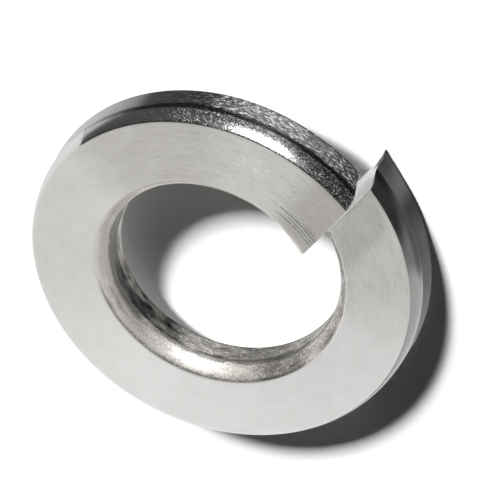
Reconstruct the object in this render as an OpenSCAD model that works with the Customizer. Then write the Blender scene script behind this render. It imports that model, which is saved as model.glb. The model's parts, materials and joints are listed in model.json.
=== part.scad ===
// Spring lock washer: one turn of shouldered steel wire, coiled left-handed and cut through
// on a slant. The bore axis is Z, the origin is the middle of the bore, half way up the free
// height, and the cut is on the +X side. All sizes are in millimetres.

/* [Ring] */
// Diameter of the bore
bore_d = 12.2; // [9.5:0.1:13]
// Width of the wire along the radius, at its back edge where it is widest
wire_width = 4.45; // [3.2:0.05:6.5]
// Thickness of the wire, measured along the bore
thickness = 2.55; // [2:0.05:3.6]
// Height of the relaxed washer, from its lowest to its highest corner
free_height = 5.5; // [3.8:0.1:8]

/* [Shoulders of the upper face] */
// How far the ground upper face stops short of the outer wall
outer_shoulder = 0.34; // [0.15:0.01:0.8]
// How far the ground upper face stops short of the bore
inner_shoulder = 0.6; // [0.2:0.01:0.9]
// Depth of both shoulders below the upper face, down to the crease in each wall
shoulder_depth = 1.15; // [0.6:0.01:1.3]
// Slope of the shoulder's arc at the ground face, in degrees, before it is stretched to its depth
shoulder_end_slope = 70; // [50:1:80]
// Slope of the shoulder's arc at the crease, in degrees, before it is stretched to its depth
shoulder_start_slope = 10; // [6:1:16]

/* [Walls] */
// How much the outer wall widens between its crease and the back edge
wall_taper = 0.09; // [0:0.01:0.2]
// Rounding of both edges of the back face
back_edge = 0.12; // [0.08:0.01:0.3]

/* [Cut] */
// Gap between the two ends, across the outer edge of the upper face
end_gap = 0.55; // [0.2:0.05:3]
// Turn of the cut off the radius, seen along the bore, in degrees
cut_skew = 13; // [0:1:25]
// How far the low end's surface drifts back towards its tip, over the upper half of the thickness
low_drift = 0.36; // [0:0.01:0.8]
// How far the high end's surface drifts back from its tip, over nearly the whole thickness
high_drift = 0.42; // [0:0.01:0.8]
// Rounding of the edges around each end
cut_edge = 0.08; // [0.02:0.01:0.12]

/* [Smoothness] */
// Number of steps around the coil
coil_steps = 144; // [72:6:180]
// Number of steps across each shoulder
shoulder_steps = 6; // [3:1:8]
// Number of steps down each wall, between its crease and its back edge
land_steps = 4; // [2:1:6]

/* [Hidden] */
steel = [0.74, 0.74, 0.72];

turn = 360;
bore_r = bore_d / 2;
outer_r = bore_r + wire_width;
crease_r = outer_r - wall_taper;
face_outer_r = crease_r - outer_shoulder;

// Stock that the coil carries inside its lower wall until the bore is cut
bore_stock = 0.2;
// The inner shoulder runs on at this slope, a little past the bore, so that the bore trims it
trimmed_slope = shoulder_start_slope / 2;
// Steps across the small roundings: of the back face, and around each end
round_steps = 3;

// A shoulder at one of its slopes: 0 to 1 is the share of its width, or of its depth, that is used
function width_share(slope) =
    (cos(shoulder_start_slope) - cos(slope)) / (cos(shoulder_start_slope) - cos(shoulder_end_slope));
function depth_share(slope) =
    (sin(shoulder_end_slope) - sin(slope)) / (sin(shoulder_end_slope) - sin(shoulder_start_slope));
function slope_at(step, last_slope) =
    shoulder_end_slope + (last_slope - shoulder_end_slope) * step / shoulder_steps;

// The points inside the straight part of a wall
function between(start, end) =
    [for (step = [1 : land_steps - 1]) start + (end - start) * step / land_steps];

// The section's two sides from the upper face down, as [radius, depth below the upper face]
outer_side = [
    for (step = [0 : shoulder_steps])
        let (slope = slope_at(step, shoulder_start_slope))
        [crease_r - outer_shoulder * width_share(slope), shoulder_depth * depth_share(slope)],
    each between([crease_r, shoulder_depth], [outer_r, thickness - back_edge]),
    for (step = [0 : round_steps])
        let (angle = 90 * step / round_steps)
        [outer_r - back_edge * (1 - cos(angle)), thickness - back_edge * (1 - sin(angle))]
];
inner_shoulder_side = [
    for (step = [0 : shoulder_steps])
        let (slope = slope_at(step, trimmed_slope))
        [bore_r + inner_shoulder * width_share(slope), shoulder_depth * depth_share(slope)]
];
stock_corner = [bore_r - bore_stock, thickness - back_edge - bore_stock];
inner_side = [
    each inner_shoulder_side,
    each between(inner_shoulder_side[shoulder_steps], stock_corner),
    stock_corner,
    for (step = [1 : round_steps])
        let (angle = 90 * step / round_steps)
        [bore_r + back_edge * (1 - cos(angle)), thickness - back_edge * (1 - sin(angle))]
];

// The closed outline of the section: down the outer side and back up the inner side
section = concat(outer_side, [for (i = [len(inner_side) - 1 : -1 : 0]) inner_side[i]]);
corners = len(section);
levels = len(outer_side);

// How far each end's surface has drifted at a depth. The shear starts both of them upright, and
// drags the metal along with it further down.
function eased(share) =
    let (held = min(max(share, 0), 1))
    held * held * (3 - 2 * held);
function low_drift_at(depth) = low_drift * eased(pow(2 * depth / thickness, 0.8));
function high_drift_at(depth) = high_drift * eased(pow(depth / (0.9 * thickness), 1.5));

// Where a cut meets a section corner, in degrees around the coil from +X. It crosses the outer edge
// of the upper face at the given offset from +X, turned off the radius, and drifts from there.
function cut_angle(corner, offset, drift) =
    let (reach = offset + tan(cut_skew) * face_outer_r - drift)
    asin(cos(cut_skew) * reach / corner[0]) - cut_skew;

low_end = [for (corner = section) cut_angle(corner, end_gap / 2, low_drift_at(corner[1]))];
high_end = [
    for (corner = section) turn + cut_angle(corner, -end_gap / 2, high_drift_at(corner[1]))
];
rise_per_turn = (free_height - thickness) * turn / (max(high_end) - min(low_end));
middle = (max(high_end) + min(low_end)) / 2;

// A section corner moved into the wire, square to the outline there
function inset_corner(i, amount) =
    let (along = section[(i + 1) % corners] - section[(i + corners - 1) % corners])
    section[i] - amount * [along[1], -along[0]] / norm(along);

// The rings that carry the section around the coil, each as [share of the way from the low end to
// the high end, distance from that place along the wire, how far the outline is inset]
end_rounding = [
    for (step = [0 : round_steps - 1])
        let (angle = 90 * step / round_steps)
        cut_edge * [1 - cos(angle), 1 - sin(angle)]
];
rings = concat(
    [for (place = end_rounding) [0, place[0], place[1]]],
    [for (step = [0 : coil_steps]) let (share = step / coil_steps) [share, cut_edge * (1 - 2 * share), 0]],
    [for (step = [round_steps - 1 : -1 : 0]) [1, -end_rounding[step][0], end_rounding[step][1]]]
);
last_ring = len(rings) - 1;

// A section corner carried to its ring. The angle runs clockwise seen from above, which makes the
// coil left-handed.
function on_coil(i, ring) =
    let (
        corner = inset_corner(i, ring[2]),
        end_to_end = low_end[i] + (high_end[i] - low_end[i]) * ring[0],
        angle = end_to_end + ring[1] / corner[0] * 180 / PI
    )
    [
        corner[0] * cos(angle),
        -corner[0] * sin(angle),
        rise_per_turn * (angle - middle) / turn + thickness / 2 - corner[1]
    ];
coil_points = [for (ring = rings, i = [0 : corners - 1]) on_coil(i, ring)];

// Faces between one ring of section corners and the next
coil_skin = [
    for (step = [0 : last_ring - 1], i = [0 : corners - 1])
        let (here = step * corners, next = here + corners, j = (i + 1) % corners)
        each [[here + i, here + j, next + j], [here + i, next + j, next + i]]
];

// One end face, closed level by level from the outer side to the inner side
function end_face(first) = [
    for (level = [0 : levels - 2])
        let (outer = first + level, inner = first + corners - 1 - level)
        each [[outer, inner, inner - 1], [outer, inner - 1, outer + 1]]
];
function flipped(faces) = [for (face = faces) [for (i = [len(face) - 1 : -1 : 0]) face[i]]];

module coil() {
    polyhedron(
        points = coil_points,
        faces = concat(coil_skin, end_face(0), flipped(end_face(last_ring * corners))),
        convexity = 4
    );
}

module bore() {
    translate([0, 0, -free_height])
        cylinder(r = bore_r, h = 2 * free_height, $fn = 2 * coil_steps);
}

module spring_lock_washer() {
    color(steel)
        difference() {
            coil();
            bore();
        }
}

spring_lock_washer();
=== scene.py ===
"""A left-handed spring lock washer lying on a pale studio floor.

The section of the wire is drawn beside the bore, coiled by a screw sweep, closed at both ends and
then given the slanted, torn ends that the shear leaves. Lengths are in metres. "Turn" is the
angle around the coil in degrees, clockwise seen from above, from +X at the low end, and "depth"
is measured down from the ground upper face.
"""

import json
import math

import bpy
from mathutils import Matrix, Vector


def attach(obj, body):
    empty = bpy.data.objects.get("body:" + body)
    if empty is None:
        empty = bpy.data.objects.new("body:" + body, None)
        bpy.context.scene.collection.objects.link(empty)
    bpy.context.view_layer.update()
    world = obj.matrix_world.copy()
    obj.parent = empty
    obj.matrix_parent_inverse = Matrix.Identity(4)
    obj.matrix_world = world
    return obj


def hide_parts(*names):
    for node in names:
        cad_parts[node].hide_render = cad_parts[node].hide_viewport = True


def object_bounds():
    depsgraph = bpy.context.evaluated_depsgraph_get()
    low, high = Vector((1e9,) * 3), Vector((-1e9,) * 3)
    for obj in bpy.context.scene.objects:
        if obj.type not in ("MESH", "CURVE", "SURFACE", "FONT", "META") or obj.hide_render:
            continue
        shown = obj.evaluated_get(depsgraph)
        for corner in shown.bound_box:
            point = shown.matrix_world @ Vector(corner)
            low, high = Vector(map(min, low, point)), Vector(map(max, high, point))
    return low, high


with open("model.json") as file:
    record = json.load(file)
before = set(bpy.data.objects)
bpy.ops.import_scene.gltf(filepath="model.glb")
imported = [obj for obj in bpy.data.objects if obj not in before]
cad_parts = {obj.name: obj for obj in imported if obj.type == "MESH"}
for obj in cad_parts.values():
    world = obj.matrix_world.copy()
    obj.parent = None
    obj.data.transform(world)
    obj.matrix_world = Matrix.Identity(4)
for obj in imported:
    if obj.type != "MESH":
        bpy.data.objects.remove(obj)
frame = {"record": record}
cad_low, cad_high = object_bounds()

MM = 0.001
FULL_TURN = 360

# Sizes that the frame gives
BORE_MOUNT = next(mount for mount in frame["record"]["mounts"] if mount["name"] == "bore")
BORE_R = BORE_MOUNT["dims"]["r_mm"] * MM
OUTER_R = (cad_high.y - cad_low.y) / 2
FREE_HEIGHT = cad_high.z - cad_low.z

# The wire's section
THICKNESS = 2.55 * MM
WALL_TAPER = 0.09 * MM
OUTER_SHOULDER = 0.34 * MM
INNER_SHOULDER = 0.6 * MM
SHOULDER_DEPTH = 1.15 * MM
TOP_SLOPE = math.radians(70)
CREASE_SLOPE = math.radians(10)
BACK_EDGE = 0.12 * MM
CREASE_R = OUTER_R - WALL_TAPER
FACE_OUTER_R = CREASE_R - OUTER_SHOULDER
FACE_INNER_R = BORE_R + INNER_SHOULDER

# Steps along the section's outline, and around the coil
FACE_STEPS = 24
SHOULDER_STEPS = 12
WALL_STEPS = 9
BACK_EDGE_STEPS = 4
COIL_STEPS = 600

# The cut: its gap and slant, and the degrees of turn over which the wire slides to meet it
END_GAP = 0.55 * MM
CUT_SKEW = math.radians(13)
CUT_BLEND = 40

# How far each end is dragged back below its front edge, by which depth, and how slowly it starts
LOW_DRAG = 0.36 * MM
LOW_DRAG_DEPTH = 0.5 * THICKNESS
LOW_DRAG_START = 0.8
HIGH_DRAG = 0.42 * MM
HIGH_DRAG_DEPTH = 0.9 * THICKNESS
HIGH_DRAG_START = 1.5

# How far the low end's front edge is rolled over, and how far from it that begins
ROLL_DEPTH = 0.05 * MM
ROLL_REACH = 0.3 * MM

# How far sharp edges are broken, which angles are sharp and which shade smoothly, and how close
# two points are one
EDGE_BREAK = 0.035 * MM
EDGE_SEGMENTS = 2
SHARP_ANGLE = math.radians(15)
SMOOTH_ANGLE = math.radians(28)
MERGE_DISTANCE = 0.0005 * MM

# How squarely a face points along the coil if it is an end's, and up or down if it is ground
END_SQUARENESS = 0.5
GROUND_SQUARENESS = 0.9

# Where the shear swelled or tore the metal: the turn, radius and depth it is worst at, in degrees
# and millimetres, how far it spreads in each, and how it pushes outwards, along the coil and down
SWELLS = [
    # The bore side of the high end, squeezed inwards
    {"at": (364, 6.2, 0.5), "spread": (22, 1.3, 1.9), "push": (-0.2, 0, 0)},
    # The burr at the low end's lower outer corner, and the lip that runs from it
    {"at": (-1.2, 10.55, 2.6), "spread": (2.2, 0.55, 0.8), "push": (0.1, -0.2, 0)},
    {"at": (-1, 10.55, 2.6), "spread": (9, 0.6, 1.2), "push": (0.12, 0, 0)},
]


def ease(share):
    """Eases from 0 to 1 as share goes from 0 to 1, and holds beyond both."""
    share = min(max(share, 0.0), 1.0)
    return share * share * (3 - 2 * share)


# Where things are on the wire

def low_drag(depth):
    """How far the low end's torn surface lies behind its front edge."""
    return LOW_DRAG * ease((depth / LOW_DRAG_DEPTH) ** LOW_DRAG_START)


def high_drag(depth):
    """How far the high end's torn surface lies behind its front edge."""
    return HIGH_DRAG * ease((depth / HIGH_DRAG_DEPTH) ** HIGH_DRAG_START)


def cut_turn(radius, depth, offset, drag):
    """The turn at which a cut, offset across the outer edge of the upper face, crosses the wire."""
    reach = offset + math.tan(CUT_SKEW) * FACE_OUTER_R - drag(max(depth, 0.0))
    return math.degrees(math.asin(math.cos(CUT_SKEW) * reach / radius) - CUT_SKEW)


def low_cut(radius, depth):
    """The turn of the low end's surface, from 0."""
    return cut_turn(radius, depth, END_GAP / 2, low_drag)


def high_cut(radius, depth):
    """The turn of the high end's surface, from a full turn."""
    return cut_turn(radius, depth, -END_GAP / 2, high_drag)


def straight(start, end, steps):
    """Evenly spaced points after start, up to and with end."""
    return [
        (start[0] + (end[0] - start[0]) * step / steps, start[1] + (end[1] - start[1]) * step / steps)
        for step in range(1, steps + 1)
    ]


def shoulder(crease_r, width):
    """An elliptic shoulder as (radius, depth), from the upper face down to its crease."""
    flat = width / (math.cos(CREASE_SLOPE) - math.cos(TOP_SLOPE))
    upright = SHOULDER_DEPTH / (math.sin(TOP_SLOPE) - math.sin(CREASE_SLOPE))
    slopes = [
        TOP_SLOPE + (CREASE_SLOPE - TOP_SLOPE) * step / SHOULDER_STEPS
        for step in range(SHOULDER_STEPS + 1)
    ]
    return [
        (
            crease_r - flat * (math.cos(CREASE_SLOPE) - math.cos(slope)),
            upright * (math.sin(TOP_SLOPE) - math.sin(slope)),
        )
        for slope in slopes
    ]


def back_edge(wall_r, inward):
    """The rounding of a back edge as (radius, depth), from the wall to the back face."""
    angles = [math.pi / 2 * step / BACK_EDGE_STEPS for step in range(BACK_EDGE_STEPS + 1)]
    return [
        (
            wall_r + inward * BACK_EDGE * (1 - math.cos(angle)),
            THICKNESS - BACK_EDGE * (1 - math.sin(angle)),
        )
        for angle in angles
    ]


def section_outline():
    """The wire's outline as (radius, depth): out along the upper face, down the outer wall, in
    along the back face and up the bore."""
    outer = shoulder(CREASE_R, OUTER_SHOULDER)
    inner = shoulder(BORE_R, -INNER_SHOULDER)
    outer_edge = back_edge(OUTER_R, -1)
    inner_edge = back_edge(BORE_R, 1)
    outline = [inner[0]] + straight(inner[0], outer[0], FACE_STEPS)
    outline += outer[1:] + straight(outer[-1], outer_edge[0], WALL_STEPS) + outer_edge[1:]
    outline += straight(outer_edge[-1], inner_edge[-1], FACE_STEPS) + inner_edge[-2::-1]
    outline += straight(inner_edge[0], inner[-1], WALL_STEPS) + inner[-2:0:-1]
    return outline


SECTION = section_outline()
FIRST_TURN = min(low_cut(radius, depth) for radius, depth in SECTION)
LAST_TURN = FULL_TURN + max(high_cut(radius, depth) for radius, depth in SECTION)
RISE = (FREE_HEIGHT - THICKNESS) * FULL_TURN / (LAST_TURN - FIRST_TURN)
MIDDLE_TURN = (FIRST_TURN + LAST_TURN) / 2


def face_height(turn):
    """The height of the upper face at this turn."""
    return RISE * (turn - MIDDLE_TURN) / FULL_TURN + THICKNESS / 2


def on_wire(radius, turn, depth):
    """A point of the wire in the frame's own axes."""
    angle = math.radians(turn)
    return Vector((radius * math.cos(angle), -radius * math.sin(angle), face_height(turn) - depth))


def wire_place(point):
    """The radius, turn and depth of a point on the wire. The height tells the two ends apart."""
    turn = math.degrees(-math.atan2(point.y, point.x)) % FULL_TURN
    depths = {
        candidate: face_height(candidate) - point.z
        for candidate in (turn - FULL_TURN, turn, turn + FULL_TURN)
    }
    turn = min(depths, key=lambda candidate: abs(depths[candidate] - THICKNESS / 2))
    return math.hypot(point.x, point.y), turn, depths[turn]


# Modelling

def choose(piece, kind, wanted):
    """Selects the vertices, edges or faces that pass the test, by their index and element."""
    bpy.ops.object.mode_set(mode="EDIT")
    bpy.ops.mesh.select_mode(type=kind)
    bpy.ops.mesh.select_all(action="DESELECT")
    bpy.ops.object.mode_set(mode="OBJECT")
    elements = {
        "VERT": piece.data.vertices, "EDGE": piece.data.edges, "FACE": piece.data.polygons
    }[kind]
    for element in elements:
        element.select = wanted(element)
    bpy.ops.object.mode_set(mode="EDIT")


def draw_section(name):
    """The section's outline as a new object in the XZ plane, extruded corner by corner."""
    bpy.ops.object.select_all(action="DESELECT")
    bpy.ops.mesh.primitive_plane_add(size=MM)
    piece = bpy.context.object
    piece.name = piece.data.name = name
    bpy.ops.object.mode_set(mode="EDIT")
    bpy.ops.mesh.select_all(action="SELECT")
    bpy.ops.mesh.merge(type="CENTER")
    here = Vector((0, 0, 0))
    corners = [Vector((radius, 0, face_height(0) - depth)) for radius, depth in SECTION]
    bpy.ops.transform.translate(value=corners[0] - here)
    for last, corner in zip(corners, corners[1:]):
        bpy.ops.mesh.extrude_region_move(TRANSFORM_OT_translate={"value": corner - last})
    choose(piece, "VERT", lambda vertex: vertex.index in (0, len(SECTION) - 1))
    bpy.ops.mesh.edge_face_add()
    bpy.ops.object.mode_set(mode="OBJECT")
    return piece


def apply_modifier(piece, kind, **settings):
    """Adds a modifier, sets it and applies it."""
    modifier = piece.modifiers.new(kind.lower(), kind)
    for setting, value in settings.items():
        setattr(modifier, setting, value)
    bpy.ops.object.modifier_apply(modifier=modifier.name)


def coil(piece):
    """Sweeps the section once around the bore, climbing clockwise."""
    apply_modifier(
        piece, "SCREW", axis="Z", angle=-math.radians(FULL_TURN), screw_offset=RISE,
        steps=COIL_STEPS, render_steps=COIL_STEPS, use_smooth_shade=True,
    )


def close_end(piece, first):
    """Bridges the outer side of an end ring to its inner side, and welds the patch in."""
    side = SHOULDER_STEPS + WALL_STEPS + BACK_EDGE_STEPS
    outer_side = range(first + FACE_STEPS, first + FACE_STEPS + side + 1)
    inner_start = first + 2 * FACE_STEPS + side
    inner_side = list(range(inner_start, inner_start + side)) + [first]
    inner_pairs = set(zip(inner_side, inner_side[1:]))

    def on_a_side(edge):
        low, high = sorted(edge.vertices)
        along_outer = low in outer_side and high in outer_side
        return along_outer or (low, high) in inner_pairs or (high, low) in inner_pairs

    choose(piece, "EDGE", on_a_side)
    bpy.ops.mesh.bridge_edge_loops(number_cuts=FACE_STEPS - 1, interpolation="LINEAR")
    bpy.ops.mesh.select_all(action="SELECT")
    bpy.ops.mesh.remove_doubles(threshold=MERGE_DISTANCE)
    bpy.ops.mesh.normals_make_consistent(inside=False)
    bpy.ops.object.mode_set(mode="OBJECT")


def cut_ends(piece):
    """Slides the wire along itself towards each end until both ends lie on their torn surfaces,
    and rolls the front edge of the low end over a little."""
    for vertex in piece.data.vertices:
        radius, turn, depth = wire_place(vertex.co)
        to_low = ease(1 - turn / CUT_BLEND)
        to_high = ease(1 - (FULL_TURN - turn) / CUT_BLEND)
        rolled = ease(1 - math.radians(turn) * radius / ROLL_REACH) * ease(1 - depth / ROLL_REACH)
        slid = turn + to_low * low_cut(radius, depth) + to_high * high_cut(radius, depth)
        vertex.co = on_wire(radius, slid, depth + ROLL_DEPTH * rolled)


def swell_ends(piece):
    """Pushes the metal out where the shear swelled or tore it."""
    for vertex in piece.data.vertices:
        radius, turn, depth = wire_place(vertex.co)
        for swell in SWELLS:
            peak_turn, peak_radius, peak_depth = swell["at"]
            turns, radii, depths = swell["spread"]
            share = (
                ease(1 - abs(turn - peak_turn) / turns)
                * ease(1 - abs(radius - peak_radius * MM) / (radii * MM))
                * ease(1 - abs(depth - peak_depth * MM) / (depths * MM))
            )
            outwards, onwards, downwards = (share * push * MM for push in swell["push"])
            radius += outwards
            turn += math.degrees(onwards / radius)
            depth += downwards
        vertex.co = on_wire(radius, turn, depth)


def break_edges(piece):
    """Rounds every sharp edge slightly, and evens the shading over the flats."""
    bpy.ops.object.mode_set(mode="EDIT")
    bpy.ops.mesh.select_mode(type="EDGE")
    bpy.ops.mesh.select_all(action="DESELECT")
    bpy.ops.mesh.edges_select_sharp(sharpness=SHARP_ANGLE)
    bpy.ops.mesh.bevel(offset=EDGE_BREAK, segments=EDGE_SEGMENTS)
    bpy.ops.object.mode_set(mode="OBJECT")
    bpy.ops.object.shade_smooth_by_angle(angle=SMOOTH_ANGLE)
    apply_modifier(piece, "WEIGHTED_NORMAL", keep_sharp=True)


def note_places(piece):
    """Keeps each point's radius, turn and depth, in millimetres and degrees, for the finishes."""
    places = [wire_place(vertex.co) for vertex in piece.data.vertices]
    for name, values in (
        ("wire_radius", [radius / MM for radius, _, _ in places]),
        ("wire_turn", [turn for _, turn, _ in places]),
        ("wire_depth", [depth / MM for _, _, depth in places]),
    ):
        attribute = piece.data.attributes.new(name, "FLOAT", "POINT")
        attribute.data.foreach_set("value", values)


def finish_faces(piece, material, wanted):
    """Gives a finish to the faces that pass the test."""
    piece.data.materials.append(material)
    piece.active_material_index = len(piece.data.materials) - 1
    choose(piece, "FACE", wanted)
    bpy.ops.object.material_slot_assign()
    bpy.ops.object.mode_set(mode="OBJECT")


# Finishes

class Signal:
    """One value in a graph, with arithmetic that adds its Math nodes."""

    def __init__(self, graph, socket):
        self.graph = graph
        self.socket = socket

    def __add__(self, other):
        return self.graph.math("ADD", self, other)

    def __sub__(self, other):
        return self.graph.math("SUBTRACT", self, other)

    def __rsub__(self, other):
        return self.graph.math("SUBTRACT", other, self)

    def __mul__(self, other):
        return self.graph.math("MULTIPLY", self, other)

    __radd__ = __add__
    __rmul__ = __mul__


class Graph:
    """The nodes of a material or world as they are put together around its shader."""

    def __init__(self, owner, shader):
        owner.use_nodes = True
        self.nodes = owner.node_tree.nodes
        self.links = owner.node_tree.links
        self.shader = self.nodes[shader]

    def put(self, node, sockets):
        """Sets or links a node's sockets."""
        for name, value in sockets.items():
            if isinstance(value, Signal):
                self.links.new(value.socket, node.inputs[name])
            else:
                node.inputs[name].default_value = value

    def node(self, kind, sockets=None, output=0, **settings):
        """Adds a node of any kind: its settings first, and then its sockets."""
        node = self.nodes.new(kind)
        for setting, value in settings.items():
            setattr(node, setting, value)
        self.put(node, sockets or {})
        return Signal(self, node.outputs[output])

    def math(self, operation, first, second=0.0):
        """One step of arithmetic."""
        return self.node("ShaderNodeMath", {0: first, 1: second}, operation=operation)

    def note(self, name):
        """A value that note_places kept on the piece."""
        return self.node("ShaderNodeAttribute", output="Fac", attribute_name=name)

    def along(self, vector, axis):
        """How far a vector reaches along an axis."""
        return self.node(
            "ShaderNodeVectorMath", {0: vector, 1: axis}, output="Value", operation="DOT_PRODUCT"
        )

    def vector(self, x, y, z):
        """Three values as a vector."""
        return self.node("ShaderNodeCombineXYZ", {"X": x, "Y": y, "Z": z})

    def grain(self, place, detail=2.0):
        """Noise from 0 to 1, with cells about 1 across in place."""
        return self.node("ShaderNodeTexNoise", {"Vector": place, "Scale": 1.0, "Detail": detail})

    def swing(self, grain, amount):
        """A grain's noise around 0, from minus to plus half the amount."""
        return (grain - 0.5) * amount

    def cells(self, place):
        """Three chance values from 0 to 1 in each grain, with grains about 1 across in place."""
        return self.node("ShaderNodeTexVoronoi", {"Vector": place, "Scale": 1.0}, output="Color")

    def part(self, vector, name):
        """One of a vector's values, X, Y or Z."""
        return self.node("ShaderNodeSeparateXYZ", {0: vector}, output=name)

    def facets(self, grains, tilt):
        """The surface's normal, leaning another way in each grain."""
        lean = self.node(
            "ShaderNodeVectorMath", {0: grains, 1: (0.5, 0.5, 0.5)}, operation="SUBTRACT"
        )
        lean = self.node("ShaderNodeVectorMath", {0: lean, "Scale": tilt}, operation="SCALE")
        normal = self.node("ShaderNodeNewGeometry", output="Normal")
        normal = self.node("ShaderNodeVectorMath", {0: normal, 1: lean}, operation="ADD")
        return self.node("ShaderNodeVectorMath", {0: normal}, operation="NORMALIZE")

    def rise(self, value, low, high):
        """Goes smoothly from 0 at low to 1 at high."""
        return self.node(
            "ShaderNodeMapRange",
            {"Value": value, "From Min": low, "From Max": high},
            interpolation_type="SMOOTHSTEP",
        )

    def fall(self, value, low, high):
        """Goes smoothly from 1 at low to 0 at high."""
        return 1 - self.rise(value, low, high)

    def window(self, value, low, high, soft):
        """1 between low and high, falling smoothly to 0 over soft on both sides."""
        return self.rise(value, low - soft, low) * self.fall(value, high, high + soft)

    def banded(self, turn, bands):
        """The sum of bands along the coil: each has its start, end, softness and tone."""
        tones = 0.0
        for start, end, soft, tone in bands:
            tones = tones + self.window(turn, start, end, soft) * tone
        return tones

    def blend(self, share, first, second):
        """Colours mixed by share."""
        return self.node(
            "ShaderNodeMix", {0: share, 6: first, 7: second}, output=2, data_type="RGBA"
        )

    def bump(self, height, distance):
        """The surface's normal over a relief: height 1 stands this distance up."""
        return self.node("ShaderNodeBump", {"Height": height, "Distance": distance})

    def shade(self, **values):
        """Sets the shader's sockets, such as Base Color or Roughness, with _ for a space."""
        self.put(self.shader, {name.replace("_", " "): value for name, value in values.items()})

    def around(self, per_millimetre, per_radian):
        """A place for grain that runs along the coil: cells per millimetre of radius, and per
        radian, with no seam anywhere around the ring."""
        place = self.node("ShaderNodeTexCoord", output="Object")
        level = self.node(
            "ShaderNodeVectorMath", {0: place, 1: (1, 1, 0)}, operation="MULTIPLY"
        )
        heading = self.node("ShaderNodeVectorMath", {0: level}, operation="NORMALIZE")
        scaled = self.node(
            "ShaderNodeVectorMath",
            {0: heading, 1: (per_radian, per_radian, 0)},
            operation="MULTIPLY",
        )
        across = self.vector(0.0, 0.0, self.note("wire_radius") * per_millimetre)
        return self.node("ShaderNodeVectorMath", {0: scaled, 1: across}, operation="ADD")


def new_finish(name, metallic):
    """A new material, and the graph of its nodes."""
    material = bpy.data.materials.new(name)
    finish = Graph(material, "Principled BSDF")
    finish.shade(Metallic=metallic)
    return material, finish


def grey(level, warmth=0.0):
    """A neutral colour, or one with a little less blue."""
    return (level, level * (1 - warmth * 0.4), level * (1 - warmth), 1.0)


# In the finishes, turns are in degrees, and radii and depths in millimetres, as note_places keeps
# them. Two numbers are where a change begins and where it is complete. Three are the two ends of a
# stretch and how softly it fades beyond them. Bands are lighter or darker stretches of the coil,
# painted where light or shade falls on it: the turns that each lies between, how softly it ends,
# and what it adds to the tone. A factor in a formula is how strongly that pattern counts.

# The ground faces. A tone of 0 is the shade, and a tone of 1 is near white
GROUND_METALLIC = 0.85
GROUND_ROUGHNESS = 0.3
GROUND_TONE = 0.83
GROUND_SHADE = (0.14, 0.115, 0.065, 1.0)
# Stretches of the face darkened with painted shade
GROUND_SHADE_BANDS = [
    (225, 370, 70, -0.2),
    (280, 302, 25, -0.14),
    (352, 370, 14, -0.2),
    (-20, 32, 35, -0.21),
]
# Their patterns, as cells per millimetre across and per radian around
COARSE_MARKS = (9.0, 9.0)
FINE_MARKS = (20.0, 24.0)
MOTTLE = (1.1, 8.0)
BREAKS = (3.0, 40.0)
NICKS = (7.0, 45.0)
FLECKS = (11.0, 34.0)
# How high the noise stands where a scratch is whole, and where a nick or a fleck shows
WHOLE_NOISE = (0.35, 0.55)
NICK_NOISE = (0.7, 0.78)
FLECK_NOISE = (0.6, 0.68)
# Where they are worn, towards both ends, and where the flecks are
HIGH_WEAR = (230, 320)
LOW_WEAR = (10, 70)
FLECK_TURNS = (320, 342, 10)
FLECK_RADII = (8.4, 9.2, 0.3)
# Scratches around the bore by the high end, as radius, width and first turn
SCRATCHES = [(7.13, 0.035, 340), (7.3, 0.03, 344), (7.5, 0.035, 338), (7.66, 0.03, 350)]
SCRATCH_FADE = 8
SCRATCH_LAST_TURN = 361
# How light the scratches and nicks are, and how high the marks stand
SCRATCHED_LEVEL = 0.12
MARK_RELIEF = 0.003 * MM


def ground_steel():
    """The flat ground faces: fine marks that run around the bore, a few scratches by the high end,
    small nicks on the low end, and painted shade that darkens stretches of the face around the coil."""
    material, finish = new_finish("ground_steel", GROUND_METALLIC)
    turn, radius = finish.note("wire_turn"), finish.note("wire_radius")
    coarse = finish.grain(finish.around(*COARSE_MARKS), detail=3.0)
    fine = finish.grain(finish.around(*FINE_MARKS), detail=3.0)
    mottle = finish.grain(finish.around(*MOTTLE))
    worn = finish.rise(turn, *HIGH_WEAR) + finish.fall(turn, *LOW_WEAR)
    marks = (finish.swing(coarse, 0.7) + finish.swing(fine, 0.5)) * (worn * 0.7 + 0.3)

    scratches = 0.0
    for place, width, start in SCRATCHES:
        line = finish.window(radius, place - width / 2, place + width / 2, width)
        line = line * finish.window(turn, start + SCRATCH_FADE, SCRATCH_LAST_TURN, SCRATCH_FADE)
        scratches = finish.math("MAXIMUM", scratches, line)
    scratches = scratches * finish.rise(finish.grain(finish.around(*BREAKS)), *WHOLE_NOISE)

    nicks = finish.rise(finish.grain(finish.around(*NICKS), detail=1.0), *NICK_NOISE)
    nicks = nicks * (worn * 0.6 + 0.1)
    fleck = finish.rise(finish.grain(finish.around(*FLECKS), detail=1.0), *FLECK_NOISE)
    fleck = fleck * finish.window(turn, *FLECK_TURNS) * finish.window(radius, *FLECK_RADII)
    tone = GROUND_TONE + marks * 0.36 + finish.swing(mottle, 0.12)
    # The bands darken stretches of the face with painted shade
    tone = tone + finish.banded(turn, GROUND_SHADE_BANDS) + fleck * 0.14
    colour = finish.blend(tone, GROUND_SHADE, grey(1.0, 0.02))
    dark = finish.math("MAXIMUM", scratches * 0.75, nicks * 0.45)
    finish.shade(
        Base_Color=finish.blend(dark, colour, grey(SCRATCHED_LEVEL)),
        Roughness=GROUND_ROUGHNESS + marks * 0.1,
        Normal=finish.bump(marks - scratches * 1.5 - nicks, MARK_RELIEF),
    )
    return material


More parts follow.
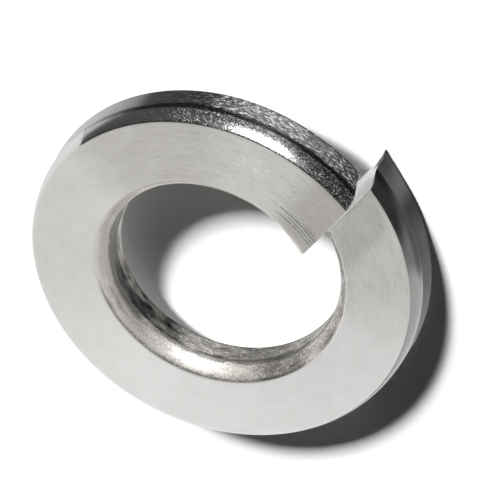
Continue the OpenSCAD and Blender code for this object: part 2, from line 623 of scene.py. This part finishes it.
# The blasted walls and shoulders
BLASTED_METALLIC = 0.95
BLASTED_ROUGHNESS = 0.24
BLASTED_OUTER_COLOUR = grey(1.0, 0.03)
BLASTED_INNER_COLOUR = grey(1.0, 0.1)
# The base tone of each side is partly the steel's own and partly painted reflection; the bands around
# the coil are painted light and shade, the lighter ones painted highlight and reflection, the darker
# ones painted shade
OUTER_SHOULDER_TONE = 0.6
OUTER_SHOULDER_LIGHT_BANDS = [(340, 365, 10, -0.25), (266, 300, 5, -0.12), (15, 90, 8, -0.25)]
OUTER_WALL_TONE = 0.47
OUTER_WALL_LIGHT_BANDS = [(255, 286, 6, 0.18), (291, 307, 6, -0.27), (319, 345, 5, 0.4), (15, 90, 8, -0.4)]
INNER_SHOULDER_TONE = 1.0
INNER_SHOULDER_LIGHT_BANDS = [(-10, 70, 12, -0.45), (93, 106, 12, -0.45), (200, 265, 15, -0.27)]
INNER_WALL_TONE = 0.68
INNER_WALL_LIGHT_BANDS = [(-10, 65, 15, -0.33), (165, 205, 15, -0.44), (222, 262, 20, -0.12)]
# Where the bore side turns into the outer side, and a shoulder into the wall below its crease
OUTER_RADII = (8.0, 8.2)
WALL_DEPTHS = (1.12, 1.2)
# The radius at which a turn is measured along each side, and the cells per millimetre there
INNER_PATTERN_R = 6.4
OUTER_PATTERN_R = 10.3
PATCHES_ALONG = 1.1
PATCHES_ACROSS = 3.0
SHOULDER_GRAINS_ALONG = 17.0
WALL_GRAINS_ALONG = 6.5
GRAINS_DOWN = 18.0
GRAINS_ACROSS = 17.0
# Which of the grains are bright and which are matt, out of their chance values
BRIGHT_CHANCE = (0.6, 0.95)
MATT_CHANCE = (0.75, 0.95)
# The painted shade along the crease, and a wider band of painted shade below it on the bore's wall,
# as turns and as depths
CREASE_SHADE_DEPTHS = (0.99, 1.22, 0.14)
OUTER_CREASE_SHADE_START = (255, 285)
INNER_CREASE_SHADE_END = (160, 190)
WIDE_SHADE_DEPTHS = (0.9, 1.8, 0.3)
WIDE_SHADE_TURNS = (185, 262, 12)
# Painted shade in dark lines along the back edge and along the edges of the upper face
BACK_EDGE_SHADE_DEPTHS = (2.3, 2.45)
OUTER_EDGE_SHADE_DEPTHS = (0.03, 0.12)
OUTER_EDGE_SHADE_START = (262, 275)
INNER_EDGE_SHADE_DEPTHS = (0.04, 0.16)
INNER_EDGE_SHADE_TURNS = (95, 200, 15)
# The stretches where the patches are faint, and where the grains sparkle, the last of them less.
# There the bright grains' lighter colour is painted glints where the highlights fall, on grain that
# is the steel's own
CALM_TURNS = (215, 270, 15)
OUTER_SPARKLE_START = (291, 312)
INNER_SPARKLE_END = (165, 200)
FAINT_SPARKLE_TURNS = (105, 195, 25)
# The painted shade over the low end's outer side: where it ends on the wall, how much further it
# reaches on the shoulder and on the lower part of that, and where the lower part begins
LOW_END_SHADE = (15, 23)
SHADE_ON_SHOULDER = 11
SHADE_ON_LOWER_PART = 4
LOWER_PART_DEPTHS = (0.35, 0.9)
# The stretch of the outer shoulder that carries a painted reflection as light as the face, and is
# rougher and less metallic
SHEEN_TURNS = (225, 268, 1.5)
SHEEN_TONE = 0.62


def blasted_steel():
    """The walls and shoulders as the wire was drawn and blasted, with bright and matt grains,
    blotched on the bore side. Their tone around the coil is partly the steel's own and partly painted
    reflection, highlight and shade; the bright grains near the highlights are painted glints, the
    creases, edges and low end carry painted shade, and one stretch of the outer shoulder carries a
    painted reflection as light as the face."""
    material, finish = new_finish("blasted_steel", BLASTED_METALLIC)
    turn, depth = finish.note("wire_turn"), finish.note("wire_depth")
    radius = finish.note("wire_radius")
    outer = finish.rise(radius, *OUTER_RADII)
    inner = 1 - outer
    wall = finish.rise(depth, *WALL_DEPTHS)
    shoulder = 1 - wall

    pattern_radius = outer * (OUTER_PATTERN_R - INNER_PATTERN_R) + INNER_PATTERN_R
    along = turn * pattern_radius * (math.pi / 180)
    patches = finish.vector(along * PATCHES_ALONG, depth * PATCHES_ACROSS, radius * PATCHES_ACROSS)
    patches = finish.grain(patches, detail=4.0)
    grains_along = SHOULDER_GRAINS_ALONG - wall * (SHOULDER_GRAINS_ALONG - WALL_GRAINS_ALONG)
    grains = finish.cells(
        finish.vector(along * grains_along, depth * GRAINS_DOWN, radius * GRAINS_ACROSS)
    )
    bright = finish.rise(finish.part(grains, "X"), *BRIGHT_CHANCE)
    matt = finish.rise(finish.part(grains, "Y"), *MATT_CHANCE)

    wobble = depth + finish.swing(patches, 0.2 + inner * 0.5)
    # Painted shade along the crease, widened below it on the bore's wall
    crease_shade_share = finish.rise(turn, *OUTER_CREASE_SHADE_START) * outer * 0.85
    crease_shade_share = crease_shade_share + finish.fall(turn, *INNER_CREASE_SHADE_END) * inner * 0.6
    crease = finish.window(wobble, *CREASE_SHADE_DEPTHS) * crease_shade_share
    wide_crease_shade = finish.window(turn, *WIDE_SHADE_TURNS) * inner
    wide_crease_shade = finish.window(wobble, *WIDE_SHADE_DEPTHS) * wide_crease_shade * 0.7
    crease = finish.math("MAXIMUM", crease, wide_crease_shade)
    # Painted shade in dark lines along the back edge and the edges of the upper face
    back_edge_shade = finish.rise(depth, *BACK_EDGE_SHADE_DEPTHS) * (0.4 + outer * 0.35)
    outer_edge_shade = finish.fall(depth, *OUTER_EDGE_SHADE_DEPTHS) * finish.rise(turn, *OUTER_EDGE_SHADE_START) * 0.4
    inner_edge_shade = finish.fall(depth, *INNER_EDGE_SHADE_DEPTHS) * finish.window(turn, *INNER_EDGE_SHADE_TURNS)
    edges = back_edge_shade + outer_edge_shade + inner_edge_shade * inner * 0.5

    patchy = 0.1 + inner * (1.3 - finish.window(turn, *CALM_TURNS))
    level = finish.swing(patches, patchy)
    # The tones and bands paint reflection, highlight and shade around the coil
    for place, tone, bands in (
        (outer * shoulder, OUTER_SHOULDER_TONE, OUTER_SHOULDER_LIGHT_BANDS),
        (outer * wall, OUTER_WALL_TONE, OUTER_WALL_LIGHT_BANDS),
        (inner * shoulder, INNER_SHOULDER_TONE, INNER_SHOULDER_LIGHT_BANDS),
        (inner * wall, INNER_WALL_TONE, INNER_WALL_LIGHT_BANDS),
    ):
        level = level + (finish.banded(turn, bands) + tone) * place
    # Where the highlights fall, the bright grains are made lighter: painted glints on the steel's own
    # grain
    sparkle = finish.rise(turn, *OUTER_SPARKLE_START) * outer
    sparkle = sparkle + finish.fall(turn, *INNER_SPARKLE_END) * inner * 0.6
    sparkle = sparkle + finish.window(turn, *FAINT_SPARKLE_TURNS) * outer * 0.35
    contrast = sparkle * (1.2 + wall * outer * 0.9) + 0.1
    # Here the painted glints, the painted shade of the crease and the painted shade of the edges act
    # on the tone
    level = level * (1 + (bright - 0.3) * contrast) * (1 - crease) * (1 - edges)
    # Painted shade darkens the low end's outer side
    lower_part = finish.rise(depth, *LOWER_PART_DEPTHS) * shoulder
    reach = turn - shoulder * SHADE_ON_SHOULDER - lower_part * SHADE_ON_LOWER_PART
    low_end_shade = finish.fall(reach, *LOW_END_SHADE) * outer
    level = level * (1 - low_end_shade * (0.5 + lower_part * 0.35))
    # A painted reflection lightens one stretch of the outer shoulder, which is also made rougher and
    # less metallic
    sheen_stretch = finish.window(turn + finish.swing(patches, 4), *SHEEN_TURNS) * outer * shoulder
    level = finish.math("MAXIMUM", level, sheen_stretch * SHEEN_TONE)

    full_colour = finish.blend(outer, BLASTED_INNER_COLOUR, BLASTED_OUTER_COLOUR)
    metallic = BLASTED_METALLIC - sheen_stretch * 0.5 - matt * sparkle * (0.2 + outer * 0.35)
    finish.shade(
        Base_Color=finish.blend(level, grey(0.0), full_colour),
        Metallic=metallic - inner * shoulder * 0.15,
        Roughness=BLASTED_ROUGHNESS + wall * outer * 0.16 + inner * 0.26 + sheen_stretch * 0.3,
        Normal=finish.facets(grains, sparkle * (0.06 + wall * 0.1)),
    )
    return material


# The sheared ends
SHEARED_METALLIC = 0.8
SHEARED_ROUGHNESS = 0.42
SHEARED_TONE = 0.93
SMUDGES_ACROSS = 4.0
SMUDGES_DOWN = 2.5
SMUDGE_RELIEF = 0.02 * MM
TORN_DEPTHS = (1.3, 1.6)
TORN_RADII = (9.9, 10.2)


def sheared_steel():
    """The torn ends: a light, faintly smudged surface, dark and rough at the torn corner."""
    material, finish = new_finish("sheared_steel", SHEARED_METALLIC)
    depth, radius = finish.note("wire_depth"), finish.note("wire_radius")
    smudges = finish.vector(radius * SMUDGES_ACROSS, depth * SMUDGES_DOWN, 0.0)
    smudges = finish.grain(smudges, detail=4.0)
    torn = finish.rise(depth + finish.swing(smudges, 0.8), *TORN_DEPTHS)
    torn = torn * finish.rise(radius, *TORN_RADII)
    level = (SHEARED_TONE + finish.swing(smudges, 0.5)) * (1 - torn * 0.8)
    finish.shade(
        Base_Color=finish.blend(level, grey(0.0), grey(1.0, 0.03)),
        Roughness=SHEARED_ROUGHNESS + torn * 0.45,
        Normal=finish.bump(smudges, SMUDGE_RELIEF),
    )
    return material


# The washer

def make_washer():
    """The washer in one piece, with its three finishes, in place of the plain one."""
    washer = draw_section("spring_washer")
    coil(washer)
    last_ring = COIL_STEPS * len(SECTION)
    close_end(washer, last_ring)
    close_end(washer, 0)
    cut_ends(washer)
    swell_ends(washer)
    break_edges(washer)
    note_places(washer)

    def is_end(face):
        turn = math.radians(wire_place(face.center)[1])
        along = Vector((-math.sin(turn), -math.cos(turn), 0))
        return abs(face.normal.dot(along)) > END_SQUARENESS

    def is_ground(face):
        radius = wire_place(face.center)[0]
        return (
            abs(face.normal.z) > GROUND_SQUARENESS
            and FACE_INNER_R - EDGE_BREAK < radius < FACE_OUTER_R + EDGE_BREAK
        )

    finish_faces(washer, blasted_steel(), lambda face: True)
    finish_faces(washer, ground_steel(), is_ground)
    finish_faces(washer, sheared_steel(), is_end)
    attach(washer, "root")
    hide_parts("spring_lock_washer")


# The studio

# The floor and the camera, with its angles in degrees and its lens in millimetres
FLOOR_HEIGHT = cad_low.z
FLOOR_SIZE = 4.0
CAMERA_AIM = (2.03 * MM, 0.95 * MM, 0)
CAMERA_DISTANCE = 129.1 * MM
CAMERA_AZIMUTH = 22.08
CAMERA_ELEVATION = 50.99
CAMERA_ROLL = -147.97
CAMERA_LENS = 187.7
SENSOR_WIDTH = 36
VIEW_END = 10.0

# What the steel mirrors, by direction. Two and three numbers are as in the finishes, and measure
# how far a unit vector reaches towards a thing, to its side or up.
# A dark room, which is darker still as light
ROOM_LEVEL = 0.035
DIM_LEVEL = 0.03
# A white card on the side away from the camera, wider low down and dimmer high up
CARD_DIRECTION = (-0.669, -0.743, 0.0)
CARD_LEVEL = 0.92
CARD_EDGE = (-0.02, 0.1)
CARD_WIDER_BELOW = (-0.7, -0.4)
CARD_EXTRA_WIDTH = 0.14
CARD_DIMMER_ABOVE = (0.68, 0.88)
CARD_DIMMING = 0.4
# A bright upright strip on the camera's side, and the light that it spills below it
STRIP_AZIMUTH = math.radians(38.5)
STRIP_FRONT = (math.cos(STRIP_AZIMUTH), math.sin(STRIP_AZIMUTH), 0.0)
STRIP_SIDE = (-math.sin(STRIP_AZIMUTH), math.cos(STRIP_AZIMUTH), 0.0)
STRIP_AHEAD = (0.4, 0.6)
STRIP_LEVEL = 12.0
STRIP_HALF_WIDTH = (0.1, 0.26)
STRIP_HEIGHTS = (-0.2, 0.25, 0.2)
SPILL_LEVEL = 0.55
SPILL_HALF_WIDTH = (0.05, 0.3)
SPILL_TOP = (-0.7, -0.5)


def facing(azimuth, elevation, roll=0.0):
    """A rotation that looks back at its own aim from this azimuth and elevation, in degrees."""
    turned = Matrix.Rotation(math.radians(azimuth + 90), 4, "Z")
    tipped = Matrix.Rotation(math.radians(90 - elevation), 4, "X")
    return turned @ tipped @ Matrix.Rotation(math.radians(roll), 4, "Z")


def place_facing(thing, aim, azimuth, elevation, distance, roll=0.0):
    """Puts a lamp or camera at a distance from its aim, looking at it."""
    rotation = facing(azimuth, elevation, roll)
    thing.matrix_world = Matrix.Translation(
        Vector(aim) + rotation @ Vector((0, 0, distance))
    ) @ rotation


def make_camera():
    """The camera, at the angle from which the washer is seen in the photograph."""
    data = bpy.data.cameras.new("camera")
    data.lens = CAMERA_LENS
    data.sensor_width = SENSOR_WIDTH
    data.clip_start = MM
    data.clip_end = VIEW_END
    camera = bpy.data.objects.new("camera", data)
    bpy.context.scene.collection.objects.link(camera)
    place_facing(
        camera, CAMERA_AIM, CAMERA_AZIMUTH, CAMERA_ELEVATION, CAMERA_DISTANCE, CAMERA_ROLL
    )
    bpy.context.scene.camera = camera


def make_panel(name, azimuth, elevation, distance, width, height, level):
    """A soft rectangular lamp. Level is how bright it makes a white surface that faces it."""
    data = bpy.data.lights.new(name, "AREA")
    data.shape = "RECTANGLE"
    data.size = width
    data.size_y = height
    data.energy = level * (math.pi * distance) ** 2
    lamp = bpy.data.objects.new(name, data)
    bpy.context.scene.collection.objects.link(lamp)
    place_facing(lamp, (0, 0, 0), azimuth, elevation, distance)
    return lamp


def make_floor():
    """A plain white floor under the washer, which the steel doesn't mirror."""
    bpy.ops.object.select_all(action="DESELECT")
    bpy.ops.mesh.primitive_plane_add(size=FLOOR_SIZE, location=(0, 0, FLOOR_HEIGHT))
    floor = bpy.context.object
    floor.name = "floor"
    paper = bpy.data.materials.new("white_paper")
    paper.use_nodes = True
    shader = paper.node_tree.nodes["Principled BSDF"]
    shader.inputs["Base Color"].default_value = grey(1.0)
    shader.inputs["Roughness"].default_value = 1.0
    shader.inputs["Specular IOR Level"].default_value = 0.0
    floor.data.materials.append(paper)
    floor.visible_glossy = False


def surround():
    """What stands around the washer: white to the camera, dim as light, and in reflections a dark
    room with a white card, a bright strip and the light that the strip spills."""
    world = bpy.data.worlds.new("studio")
    bpy.context.scene.world = world
    graph = Graph(world, "Background")
    seen = graph.node("ShaderNodeLightPath", output="Is Camera Ray")
    mirrored = graph.node("ShaderNodeLightPath", output="Is Glossy Ray")
    direction = graph.node("ShaderNodeTexCoord", output="Generated")
    height = graph.part(direction, "Z")
    widening = graph.fall(height, *CARD_WIDER_BELOW) * CARD_EXTRA_WIDTH
    card = graph.rise(graph.along(direction, CARD_DIRECTION) + widening, *CARD_EDGE)
    card = card * (1 - graph.rise(height, *CARD_DIMMER_ABOVE) * CARD_DIMMING)
    ahead = graph.rise(graph.along(direction, STRIP_FRONT), *STRIP_AHEAD)
    sideways = graph.math("ABSOLUTE", graph.along(direction, STRIP_SIDE))
    strip = ahead * graph.fall(sideways, *STRIP_HALF_WIDTH) * graph.window(height, *STRIP_HEIGHTS)
    spill = ahead * graph.fall(sideways, *SPILL_HALF_WIDTH) * graph.fall(height, *SPILL_TOP)
    level = ROOM_LEVEL - DIM_LEVEL + card * CARD_LEVEL + strip * STRIP_LEVEL + spill * SPILL_LEVEL
    level = DIM_LEVEL + mirrored * level
    level = graph.math("MAXIMUM", level, seen)
    graph.shade(Color=grey(1.0), Strength=level)


def light_studio():
    """One soft panel, which the steel doesn't mirror."""
    key = make_panel(
        "key", azimuth=75, elevation=42, distance=1.5, width=0.24, height=0.2, level=1.5
    )
    key.visible_glossy = False


make_camera()
make_washer()
make_floor()
light_studio()
surround()

scene = bpy.context.scene
scene.view_settings.view_transform = "Standard"
